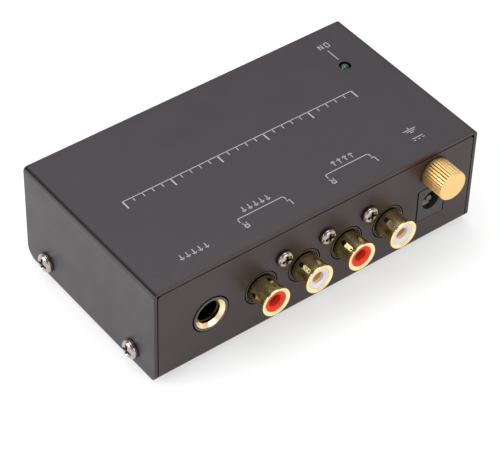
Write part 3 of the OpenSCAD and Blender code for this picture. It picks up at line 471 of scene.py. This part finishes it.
def insulator(name, colour):
    """A socket's coloured disc, with painted shade behind the barrel's notches and in its recesses."""
    m = Shader(name, colour, roughness=0.36)
    m.mottle(colour, shaded(colour, share=0.9), size_mm=1.6)
    m.multiply(m.along("Y", front_y - DISC_SHADE_FROM, front_y - DISC_SHADE_TO, DISC_SHADE))
    m.paint_recess_shade(distance_mm=1.0, darkest=0.35, shut=0.1, clear=0.6)
    m.roughen(low=0.32, high=0.4, size_mm=1.1)
    m.grain(size_mm=0.3)
    m.put("Specular IOR Level", 0.3)
    return m.material


def nose_plastic():
    """The jacks' black mouldings in the panel's holes: a painted highlight makes their faces grey, and
    painted shade makes their gaps black.
    """
    m = Shader("nose_plastic", srgb(84, 80, 77), roughness=0.42)
    m.mottle(srgb(88, 84, 81), srgb(78, 74, 71), size_mm=1.6)
    m.paint_recess_shade(distance_mm=0.9, darkest=0.02, shut=0.4, clear=0.85, sheen=0.5)
    m.roughen(low=0.38, high=0.46, size_mm=1.1)
    m.grain(size_mm=0.3)
    return m.material


def plastic(name, colour, roughness, grain_mm=0.3, height_mm=0.004, coat=0.0):
    """Moulded plastic with a fine surface, a slight mottle and painted shade in its recesses."""
    m = Shader(name, colour, roughness)
    m.mottle(colour, shaded(colour, share=0.9), size_mm=1.6)
    m.paint_recess_shade(distance_mm=0.6, darkest=0.3)
    m.roughen(low=roughness * 0.9, high=roughness * 1.1, size_mm=1.1)
    m.grain(grain_mm, height_mm=height_mm)
    m.put("Coat Weight", coat)
    m.put("Coat Roughness", 0.12)
    return m.material


def lens_plastic():
    """The lamp's clear dark green lens."""
    m = Shader("lens_green", srgb(20, 92, 60), roughness=0.12)
    m.mottle(srgb(6, 46, 33), srgb(12, 66, 46), size_mm=0.7)
    m.roughen(low=0.09, high=0.15, size_mm=0.5)
    m.put("Coat Weight", 0.6)
    m.put("Coat Roughness", 0.05)
    return m.material


# ---------------------------------------------------------------- which node has which material

SLOT_MATERIALS = {
    "case_black": case_paint(),
    "nickel": metal("nickel", srgb(188, 176, 169), rough=(0.1, 0.2), paint_recess_shade=SCREW_RECESS_SHADE),
    "gold": metal("gold_satin", GOLD, rough=(0.34, 0.44), grain_mm=0.4, stretch=(1, 3, 1)),
    "red_plastic": insulator("red_plastic", srgb(255, 56, 22)),
    "white_plastic": insulator("white_plastic", srgb(255, 248, 251)),
    "rubber": plastic("rubber", srgb(30, 30, 30), roughness=0.75, grain_mm=0.4, height_mm=0.01),
    "board_green": plastic("board_green", srgb(30, 92, 58), roughness=0.4),
    "tin": metal("tin", srgb(205, 204, 200), rough=(0.25, 0.4)),
    "spring_bronze": metal("spring_bronze", srgb(214, 204, 186), rough=(0.2, 0.32)),
    "lens_green": lens_plastic(),
    "wire_green": plastic("wire_green", srgb(44, 140, 62), roughness=0.5),
    "chip_black": plastic("chip_black", srgb(26, 26, 27), roughness=0.55),
    "can_sleeve": plastic("can_sleeve", srgb(32, 36, 50), roughness=0.3, coat=0.2),
    "film_red": plastic("film_red", srgb(160, 44, 34), roughness=0.35, coat=0.2),
    "ceramic_tan": plastic("ceramic_tan", srgb(196, 132, 62), roughness=0.5),
    "resistor_blue": plastic("resistor_blue", srgb(110, 160, 196), roughness=0.4),
    "brass_plain": metal("brass_plain", srgb(206, 176, 104), rough=(0.25, 0.4)),
}

SHELL_GOLD = shell_gold()
NOSE_PLASTIC = nose_plastic()
CONTACT_GOLD = {
    # The contact in the red disc has the red disc's reflection painted into its gold
    "right": contact_gold("gold_contact_in_red", srgb(222, 92, 42)),
    "left": contact_gold("gold_contact_in_white", srgb(255, 216, 118)),
}
OWN_MATERIALS = {
    # The pin's nickel is painted dark grey: painted shade on the pin down in the inlet's bore
    "inlet_pin": metal("pin_nickel", srgb(104, 102, 98), rough=(0.3, 0.4)),
    "inlet_spring": metal("leaf_nickel", srgb(235, 232, 226), rough=(0.3, 0.4), paint_recess_shade=LEAF_RECESS_SHADE),
    "ground_knob": knob_gold(),
    "trs_bushing": bushing_gold(),
    "rca_housing": NOSE_PLASTIC,
    "trs_jack_body": NOSE_PLASTIC,
    "inlet_body": plastic("inlet_plastic", srgb(58, 53, 55), roughness=0.44),
    **{"rca_shell_" + side: SHELL_GOLD for side in SIDES},
    **{"rca_contact_" + side: CONTACT_GOLD[side.split("_")[1]] for side in SIDES},
}


def dress_nodes():
    """Each CAD node gets its own material, or else that of its slot in the record."""
    slots = {part["node"]: part["material_slot"] for part in frame["record"]["subparts"]}
    for name, piece in frame["nodes"].items():
        piece.data.materials.clear()
        piece.data.materials.append(OWN_MATERIALS.get(name) or SLOT_MATERIALS[slots[name]])


dress_nodes()

# ---------------------------------------------------------------- printed marks on the cover
# A stroke is (points, width), in mm. A point is (x, how far it lies behind the panel's face).

PRINT = plastic("print_grey", srgb(156, 155, 159), roughness=0.5, grain_mm=0.25, height_mm=0.002)
PRINT_THICK = 0.03 * MM
PRINT_SINK = 0.01 * MM       # into the cover
THIN = 0.26
BOLD = 0.42
MITRE_LEAST = 0.3            # keeps a sharp corner's mitre short
ROUND_STEPS = 5
LETTER_HIGH = 1.9
LETTER_WIDE = 0.6            # as shares of a letter's height
LETTER_PITCH = 1.12
TICKS_A_PART = 5


def arc(cx, cy, radius, start, end):
    """Points on an arc, angles in degrees."""
    out = []
    for i in range(ROUND_STEPS + 1):
        angle = math.radians(start + (end - start) * i / ROUND_STEPS)
        out.append((cx + radius * math.cos(angle), cy + radius * math.sin(angle)))
    return out


# The strokes of each letter, in a box 1 high, from its lower left corner
LETTERS = {
    "L": [[(0, 1), (0, 0), (0.52, 0)]],
    "R": [[(0, 0), (0, 1), (0.36, 1), *arc(0.36, 0.76, 0.24, 90, -90), (0, 0.52)],
          [(0.34, 0.5), (0.62, 0)]],
    "N": [[(0, 0), (0, 1)], [(0.04, 1), (0.56, 0)], [(0.6, 0), (0.6, 1)]],
    "O": [[*arc(0.2, 0.8, 0.2, 180, 90), *arc(0.4, 0.8, 0.2, 90, 0), *arc(0.4, 0.2, 0.2, 0, -90),
           *arc(0.2, 0.2, 0.2, -90, -180), (0, 0.8)]],
}


def ribbon(mesh, points, width):
    """A flat stroke of even width along points, with mitred corners and square ends."""
    pts = [Vector((x, y)) for x, y in points]
    low, high = top_z - PRINT_SINK, top_z + PRINT_THICK
    rows = []
    for i, point in enumerate(pts):
        before = (point - pts[i - 1]).normalized() if i else None
        after = (pts[i + 1] - point).normalized() if i + 1 < len(pts) else None
        way = ((before or after) + (after or before)).normalized()
        side = Vector((-way.y, way.x))
        edge = before or after
        reach = width / 2 / max(MITRE_LEAST, side.dot(Vector((-edge.y, edge.x))))
        a, b = point + side * reach, point - side * reach
        rows.append([mesh.verts.new((a.x * MM, a.y * MM, low)),
                     mesh.verts.new((b.x * MM, b.y * MM, low)),
                     mesh.verts.new((b.x * MM, b.y * MM, high)),
                     mesh.verts.new((a.x * MM, a.y * MM, high))])
    for one, two in zip(rows, rows[1:]):
        for i in range(4):
            j = (i + 1) % 4
            mesh.faces.new((one[i], one[j], two[j], two[i]))
    mesh.faces.new(rows[0][::-1])
    mesh.faces.new(rows[-1])


def print_marks(name, strokes):
    """One piece of print on the cover."""
    mesh = bmesh.new()
    for points, width in strokes:
        ribbon(mesh, [(x, front_y / MM + back) for x, back in points], width)
    bmesh.ops.recalc_face_normals(mesh, faces=mesh.faces)
    data = bpy.data.meshes.new(name)
    mesh.to_mesh(data)
    mesh.free()
    data.materials.append(PRINT)
    piece = bpy.data.objects.new(name, data)
    scene.collection.objects.link(piece)
    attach(piece, BODY)


def letters(word, x, back):
    """A word read from the back of the case, centred on x."""
    high = LETTER_HIGH
    pitch = LETTER_PITCH * high
    span = (len(word) - 1) * pitch + LETTER_WIDE * high
    strokes = []
    for i, letter in enumerate(word):
        start = x + span / 2 - i * pitch
        for stroke in LETTERS[letter]:
            points = [(start - px * high, back + high / 2 - py * high) for px, py in stroke]
            strokes.append((points, THIN))
    return strokes


def bracket(high_x, low_x, line_back=9.75, foot_back=8.3, corner=0.6):
    """The line that joins two sockets, with a short foot over each."""
    return [([(high_x, foot_back), (high_x, line_back - corner),
              *arc(high_x - corner, line_back - corner, corner, 0, 90),
              *arc(low_x + corner, line_back - corner, corner, 90, 180),
              (low_x, foot_back)], THIN)]


def arrows(x, back, way, count, pitch=1.9, length=1.9, head=0.62):
    """A row of short arrows: way is 1 for into the case and -1 for out of it."""
    strokes = []
    for i in range(count):
        at = x + (i - (count - 1) / 2) * pitch
        tip = back + way * length / 2
        barb = tip - way * head
        strokes.append(([(at, back - way * length / 2), (at, tip)], THIN))
        strokes.append(([(at - head, barb), (at, tip), (at + head, barb)], THIN))
    return strokes


def dial_scale(x_from, x_to, back, ticks, short=1.5, tall=2.9):
    """A plain graduated line, whose parts begin with a longer and bolder tick."""
    strokes = [([(x_from, back), (x_to, back)], THIN)]
    for i in range(ticks):
        x = x_from + (x_to - x_from) * i / (ticks - 1)
        length, width = (short, THIN) if i % TICKS_A_PART else (tall, BOLD)
        strokes.append(([(x, back), (x, back - length)], width))
    return strokes


def ground_symbol(x, back, stem=1.5, widths=(4.2, 2.8, 1.3), gap=0.62):
    """Three lines, each shorter than the last, under a stem."""
    strokes = [([(x, back + stem), (x, back + gap)], THIN)]
    for i, width in enumerate(widths):
        line = back + gap - i * gap
        strokes.append(([(x - width / 2, line), (x + width / 2, line)], THIN))
    return strokes


def direct_current_symbol(x, back, width=3.6, gap=0.8):
    """A whole line over three dashes with gaps as long as a dash."""
    dash = width / 5
    whole, dashed = back + gap / 2, back - gap / 2
    strokes = [([(x - width / 2, whole), (x + width / 2, whole)], THIN)]
    for i in (-2, 0, 2):
        strokes.append(([(x + (i - 0.5) * dash, dashed), (x + (i + 0.5) * dash, dashed)], THIN))
    return strokes


# How far behind the panel's face the marks stand, in mm
LABEL_BACK = 6.9
WORD_BACK = 11.9
GROUND_BACK = 10.1
SCALE_BACK = 32.0
LAMP_LINE_FROM = 44.3
LAMP_LINE_TO = 49.1
LAMP_WORD_BACK = 51.25

# How far a mark's middle or end stands to the right of what it belongs to, in mm
OUTPUT_BRACKET_END = -0.7
INPUT_BRACKET_END = -0.3
OUTPUT_ARROWS = -0.3
INPUT_ARROWS = 0.2
STEREO_ARROWS = -0.4
INLET_SYMBOLS = -0.2
LAMP_LINE = 0.1
LAMP_LINE_LEAN = 0.05
LAMP_WORD = 0.4

# The graduated line's ends, from the middle of the part, in mm
SCALE_RIGHT = 35.4
SCALE_LEFT = -39.4
SCALE_TICKS = 26


def print_cover():
    """Every mark on the cover, each a piece of its own."""
    right_out, left_out, right_in, left_in = (socket_x[side] / MM for side in SIDES)
    output_x = (right_out + left_out) / 2
    input_x = (right_in + left_in) / 2
    lamp_x = middle("lamp_lens", "x") / MM
    stereo_x = middle("trs_bushing", "x") / MM
    inlet_x = middle("inlet_pin", "x") / MM
    line_x = lamp_x + LAMP_LINE
    marks = {
        "print_output_bracket": bracket(left_out, right_out + OUTPUT_BRACKET_END),
        "print_input_bracket": bracket(left_in, right_in + INPUT_BRACKET_END),
        "print_output_right": letters("R", right_out, LABEL_BACK),
        "print_output_left": letters("L", left_out, LABEL_BACK),
        "print_input_right": letters("R", right_in, LABEL_BACK),
        "print_input_left": letters("L", left_in, LABEL_BACK),
        "print_output_arrows": arrows(output_x + OUTPUT_ARROWS, WORD_BACK, way=-1, count=5),
        "print_input_arrows": arrows(input_x + INPUT_ARROWS, WORD_BACK, way=1, count=4),
        "print_stereo_arrows": arrows(stereo_x + STEREO_ARROWS, LABEL_BACK, way=-1, count=5),
        "print_scale": dial_scale(SCALE_RIGHT, SCALE_LEFT, SCALE_BACK, SCALE_TICKS),
        "print_ground_symbol": ground_symbol(inlet_x + INLET_SYMBOLS, GROUND_BACK),
        "print_power_symbol": direct_current_symbol(inlet_x + INLET_SYMBOLS, LABEL_BACK),
        "print_lamp_line": [([(line_x + LAMP_LINE_LEAN, LAMP_LINE_TO), (line_x, LAMP_LINE_FROM)], THIN)],
        "print_lamp_on": letters("ON", lamp_x + LAMP_WORD, LAMP_WORD_BACK),
    }
    for name, strokes in marks.items():
        print_marks(name, strokes)


print_cover()

# ---------------------------------------------------------------- stage and lights

FLOOR_HALF = 3.0
FLOOR_GREY = 0.42
FLOOR_GLOW = 0.56          # lifts the lit floor to white and leaves the shadow
WORLD_LIGHT = 0.8
DIM_FROM = 0.25            # height of a mirrored ray, as a sine, from which the sky gets dimmer
DIM_TO = 0.6
SKY_DIM = 0.34
LIGHTS_AIM = Vector((0, 0, 0.02))
LIGHTS = {                 # places and sizes in metres, power in watts
    "overhead": {"place": (0.1, 0.2, 0.9), "size": (0.8, 0.8), "power": 4.8},
    "left": {"place": (-0.9, 0.3, 0.5), "size": (0.6, 0.6), "power": 9.6},
    "front": {"place": (0.15, -0.9, 0.5), "size": (0.7, 0.5), "power": 2.3},
}


def floor():
    """A pale floor. The camera and mirrors see it white; the shadow stays."""
    mesh = bpy.data.meshes.new("floor")
    corners = [(x * FLOOR_HALF, y * FLOOR_HALF, 0) for x, y in ((-1, -1), (1, -1), (1, 1), (-1, 1))]
    mesh.from_pydata(corners, [], [(0, 1, 2, 3)])
    piece = bpy.data.objects.new("floor", mesh)
    scene.collection.objects.link(piece)
    m = Shader("floor_pale", (FLOOR_GREY, FLOOR_GREY, FLOOR_GREY, 1), roughness=0.9)
    m.put("Specular IOR Level", 0.0)
    m.put("Emission Color", (1, 1, 1, 1))
    m.put("Emission Strength", m.remap(m.seen_ray(), 0, FLOOR_GLOW))
    piece.data.materials.append(m.material)


def sky_strength(sky):
    """1, but for mirrored rays dimmer overhead, as in a studio whose ceiling is dark."""
    up = sky.part(sky.node("ShaderNodeTexCoord").outputs["Generated"], "Z")
    mix = sky.node("ShaderNodeMix")
    sky.fill(mix.inputs[MIX_SHARE], sky.node("ShaderNodeLightPath").outputs["Is Glossy Ray"])
    for socket, strength in zip(MIX_NUMBERS, (1.0, sky.remap(up, 1.0, SKY_DIM, DIM_FROM, DIM_TO))):
        sky.fill(mix.inputs[socket], strength)
    return mix.outputs[MIXED_NUMBER]


def world():
    """Even light all round, and white where the camera or a mirror looks past the floor."""
    made = bpy.data.worlds.new("studio")
    scene.world = made
    made.use_nodes = True
    made.node_tree.nodes.clear()
    sky = Tree(made.node_tree)
    light = sky.node("ShaderNodeBackground")
    sky.fill(light.inputs["Strength"], WORLD_LIGHT)
    white = sky.node("ShaderNodeBackground")
    sky.fill(white.inputs["Strength"], sky_strength(sky))
    mix = sky.node("ShaderNodeMixShader")
    for socket, content in zip(mix.inputs, (sky.seen_ray(), light.outputs[0], white.outputs[0])):
        sky.fill(socket, content)
    out = sky.node("ShaderNodeOutputWorld")
    sky.fill(out.inputs["Surface"], mix.outputs[0])


def area_light(name, place, size, power):
    """A softbox that faces the part."""
    data = bpy.data.lights.new(name, "AREA")
    data.shape = "RECTANGLE"
    data.size, data.size_y = size
    data.energy = power
    lamp = bpy.data.objects.new(name, data)
    lamp.location = place
    lamp.rotation_euler = (LIGHTS_AIM - Vector(place)).to_track_quat("-Z", "Y").to_euler()
    scene.collection.objects.link(lamp)


floor()
world()
for name, light in LIGHTS.items():
    area_light(name, **light)

scene.view_settings.view_transform = "Standard"
